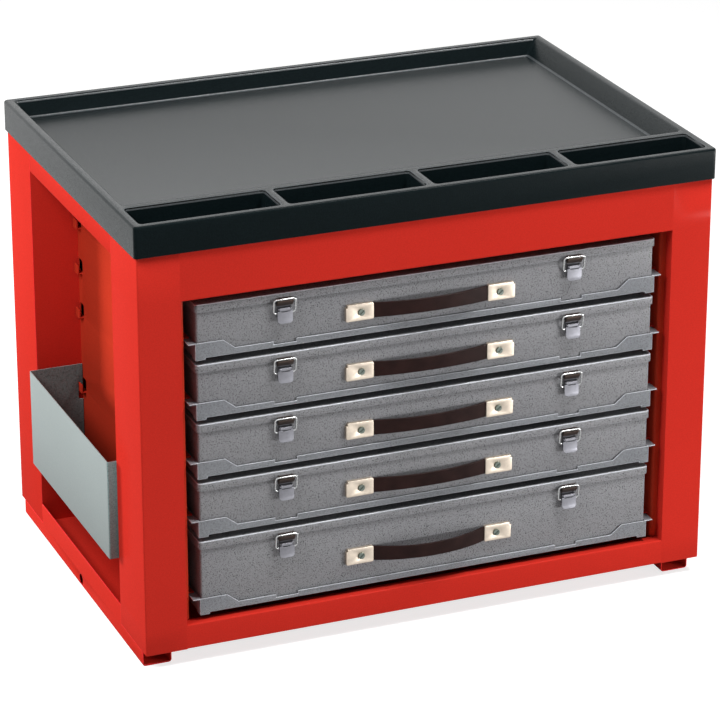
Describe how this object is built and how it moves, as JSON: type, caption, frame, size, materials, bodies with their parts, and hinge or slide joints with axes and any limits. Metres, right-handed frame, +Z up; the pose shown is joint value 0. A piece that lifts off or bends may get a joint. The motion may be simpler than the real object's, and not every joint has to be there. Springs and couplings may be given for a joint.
{
  "type": "cassette tool case",
  "caption": "Folded steel bench cabinet with latched carrying cases on pull-out carrier trays, a moulded tray on its roof and a hanging side bin.",
  "frame": {"origin": "floor level under the centre of the whole outline, with the side bin and the top tray's skirt counted", "axes": "+X to the right as seen from the front, +Y from the front to the back, +Z up"},
  "size_m": [0.6116, 0.422, 0.4605],
  "materials": {
    "red_enamel": "fine grained semi-gloss enamel",
    "black_moulding": "fine grained matte moulding",
    "hammered_grey": "hammered grey enamel with dark specks",
    "grey_enamel": "smooth satin enamel",
    "plated_steel": "bright plated pressed steel",
    "brown_strap": "dark brown strap with a faint sheen"
  },
  "bodies": {
    "cabinet": {"top_tray": "black_moulding", "roof_panel": "red_enamel", "front_left_post": "red_enamel", "front_right_post": "red_enamel", "front_header": "red_enamel", "front_sill": "red_enamel", "left_top_rail": "red_enamel", "right_top_rail": "red_enamel", "left_base_rail": "red_enamel", "right_base_rail": "red_enamel", "left_inner_wall": "red_enamel", "right_inner_wall": "red_enamel", "back_panel": "red_enamel", "floor_panel": "red_enamel"},
    "side_bin": {"side_bin": "grey_enamel"},
    "drawer_1": {"carrier_tray_1": "grey_enamel", "case_base_1": "hammered_grey", "case_lid_1": "hammered_grey", "handle_strap_1": "brown_strap", "case_fittings_1": "plated_steel"},
    "latch_lever_left_1": {"latch_lever_left_1": "plated_steel"},
    "latch_loop_left_1": {"latch_loop_left_1": "plated_steel"},
    "latch_lever_right_1": {"latch_lever_right_1": "plated_steel"},
    "latch_loop_right_1": {"latch_loop_right_1": "plated_steel"},
    "drawer_2": {"carrier_tray_2": "grey_enamel", "case_base_2": "hammered_grey", "case_lid_2": "hammered_grey", "handle_strap_2": "brown_strap", "case_fittings_2": "plated_steel"},
    "latch_lever_left_2": {"latch_lever_left_2": "plated_steel"},
    "latch_loop_left_2": {"latch_loop_left_2": "plated_steel"},
    "latch_lever_right_2": {"latch_lever_right_2": "plated_steel"},
    "latch_loop_right_2": {"latch_loop_right_2": "plated_steel"},
    "drawer_3": {"carrier_tray_3": "grey_enamel", "case_base_3": "hammered_grey", "case_lid_3": "hammered_grey", "handle_strap_3": "brown_strap", "case_fittings_3": "plated_steel"},
    "latch_lever_left_3": {"latch_lever_left_3": "plated_steel"},
    "latch_loop_left_3": {"latch_loop_left_3": "plated_steel"},
    "latch_lever_right_3": {"latch_lever_right_3": "plated_steel"},
    "latch_loop_right_3": {"latch_loop_right_3": "plated_steel"},
    "drawer_4": {"carrier_tray_4": "grey_enamel", "case_base_4": "hammered_grey", "case_lid_4": "hammered_grey", "handle_strap_4": "brown_strap", "case_fittings_4": "plated_steel"},
    "latch_lever_left_4": {"latch_lever_left_4": "plated_steel"},
    "latch_loop_left_4": {"latch_loop_left_4": "plated_steel"},
    "latch_lever_right_4": {"latch_lever_right_4": "plated_steel"},
    "latch_loop_right_4": {"latch_loop_right_4": "plated_steel"},
    "drawer_5": {"carrier_tray_5": "grey_enamel", "case_base_5": "hammered_grey", "case_lid_5": "hammered_grey", "handle_strap_5": "brown_strap", "case_fittings_5": "plated_steel"},
    "latch_lever_left_5": {"latch_lever_left_5": "plated_steel"},
    "latch_loop_left_5": {"latch_loop_left_5": "plated_steel"},
    "latch_lever_right_5": {"latch_lever_right_5": "plated_steel"},
    "latch_loop_right_5": {"latch_loop_right_5": "plated_steel"}
  },
  "joints": [
    {"name": "side_bin_lift", "type": "slide", "parent": "cabinet", "child": "side_bin", "axis": [0, 0, 1], "range_m": [0, 0.009]},
    {"name": "drawer_slide_1", "type": "slide", "parent": "cabinet", "child": "drawer_1", "axis": [0, -1, 0], "range_m": [0, 0.3]},
    {"name": "lever_left_1", "type": "hinge", "parent": "drawer_1", "child": "latch_lever_left_1", "pos_m": [-0.14875, -0.1981, 0.356], "axis": [-1, 0, 0], "range_deg": [0, 100]},
    {"name": "loop_left_1", "type": "hinge", "parent": "latch_lever_left_1", "child": "latch_loop_left_1", "pos_m": [-0.14875, -0.1976, 0.352], "axis": [-1, 0, 0], "range_deg": [-80, 0]},
    {"name": "lever_right_1", "type": "hinge", "parent": "drawer_1", "child": "latch_lever_right_1", "pos_m": [0.15525, -0.1981, 0.356], "axis": [-1, 0, 0], "range_deg": [0, 100]},
    {"name": "loop_right_1", "type": "hinge", "parent": "latch_lever_right_1", "child": "latch_loop_right_1", "pos_m": [0.15525, -0.1976, 0.352], "axis": [-1, 0, 0], "range_deg": [-80, 0]},
    {"name": "drawer_slide_2", "type": "slide", "parent": "cabinet", "child": "drawer_2", "axis": [0, -1, 0], "range_m": [0, 0.3]},
    {"name": "lever_left_2", "type": "hinge", "parent": "drawer_2", "child": "latch_lever_left_2", "pos_m": [-0.14875, -0.1981, 0.2945], "axis": [-1, 0, 0], "range_deg": [0, 100]},
    {"name": "loop_left_2", "type": "hinge", "parent": "latch_lever_left_2", "child": "latch_loop_left_2", "pos_m": [-0.14875, -0.1976, 0.2905], "axis": [-1, 0, 0], "range_deg": [-80, 0]},
    {"name": "lever_right_2", "type": "hinge", "parent": "drawer_2", "child": "latch_lever_right_2", "pos_m": [0.15525, -0.1981, 0.2945], "axis": [-1, 0, 0], "range_deg": [0, 100]},
    {"name": "loop_right_2", "type": "hinge", "parent": "latch_lever_right_2", "child": "latch_loop_right_2", "pos_m": [0.15525, -0.1976, 0.2905], "axis": [-1, 0, 0], "range_deg": [-80, 0]},
    {"name": "drawer_slide_3", "type": "slide", "parent": "cabinet", "child": "drawer_3", "axis": [0, -1, 0], "range_m": [0, 0.3]},
    {"name": "lever_left_3", "type": "hinge", "parent": "drawer_3", "child": "latch_lever_left_3", "pos_m": [-0.14875, -0.1981, 0.233], "axis": [-1, 0, 0], "range_deg": [0, 100]},
    {"name": "loop_left_3", "type": "hinge", "parent": "latch_lever_left_3", "child": "latch_loop_left_3", "pos_m": [-0.14875, -0.1976, 0.229], "axis": [-1, 0, 0], "range_deg": [-80, 0]},
    {"name": "lever_right_3", "type": "hinge", "parent": "drawer_3", "child": "latch_lever_right_3", "pos_m": [0.15525, -0.1981, 0.233], "axis": [-1, 0, 0], "range_deg": [0, 100]},
    {"name": "loop_right_3", "type": "hinge", "parent": "latch_lever_right_3", "child": "latch_loop_right_3", "pos_m": [0.15525, -0.1976, 0.229], "axis": [-1, 0, 0], "range_deg": [-80, 0]},
    {"name": "drawer_slide_4", "type": "slide", "parent": "cabinet", "child": "drawer_4", "axis": [0, -1, 0], "range_m": [0, 0.3]},
    {"name": "lever_left_4", "type": "hinge", "parent": "drawer_4", "child": "latch_lever_left_4", "pos_m": [-0.14875, -0.1981, 0.1715], "axis": [-1, 0, 0], "range_deg": [0, 100]},
    {"name": "loop_left_4", "type": "hinge", "parent": "latch_lever_left_4", "child": "latch_loop_left_4", "pos_m": [-0.14875, -0.1976, 0.1675], "axis": [-1, 0, 0], "range_deg": [-80, 0]},
    {"name": "lever_right_4", "type": "hinge", "parent": "drawer_4", "child": "latch_lever_right_4", "pos_m": [0.15525, -0.1981, 0.1715], "axis": [-1, 0, 0], "range_deg": [0, 100]},
    {"name": "loop_right_4", "type": "hinge", "parent": "latch_lever_right_4", "child": "latch_loop_right_4", "pos_m": [0.15525, -0.1976, 0.1675], "axis": [-1, 0, 0], "range_deg": [-80, 0]},
    {"name": "drawer_slide_5", "type": "slide", "parent": "cabinet", "child": "drawer_5", "axis": [0, -1, 0], "range_m": [0, 0.3]},
    {"name": "lever_left_5", "type": "hinge", "parent": "drawer_5", "child": "latch_lever_left_5", "pos_m": [-0.14875, -0.1981, 0.11], "axis": [-1, 0, 0], "range_deg": [0, 100]},
    {"name": "loop_left_5", "type": "hinge", "parent": "latch_lever_left_5", "child": "latch_loop_left_5", "pos_m": [-0.14875, -0.1976, 0.106], "axis": [-1, 0, 0], "range_deg": [-80, 0]},
    {"name": "lever_right_5", "type": "hinge", "parent": "drawer_5", "child": "latch_lever_right_5", "pos_m": [0.15525, -0.1981, 0.11], "axis": [-1, 0, 0], "range_deg": [0, 100]},
    {"name": "loop_right_5", "type": "hinge", "parent": "latch_lever_right_5", "child": "latch_loop_right_5", "pos_m": [0.15525, -0.1976, 0.106], "axis": [-1, 0, 0], "range_deg": [-80, 0]}
  ],
  "couplings": [
    {"joint": "loop_left_1", "follows": "lever_left_1", "ratio": -0.8},
    {"joint": "loop_right_1", "follows": "lever_right_1", "ratio": -0.8},
    {"joint": "loop_left_2", "follows": "lever_left_2", "ratio": -0.8},
    {"joint": "loop_right_2", "follows": "lever_right_2", "ratio": -0.8},
    {"joint": "loop_left_3", "follows": "lever_left_3", "ratio": -0.8},
    {"joint": "loop_right_3", "follows": "lever_right_3", "ratio": -0.8},
    {"joint": "loop_left_4", "follows": "lever_left_4", "ratio": -0.8},
    {"joint": "loop_right_4", "follows": "lever_right_4", "ratio": -0.8},
    {"joint": "loop_left_5", "follows": "lever_left_5", "ratio": -0.8},
    {"joint": "loop_right_5", "follows": "lever_right_5", "ratio": -0.8}
  ]
}
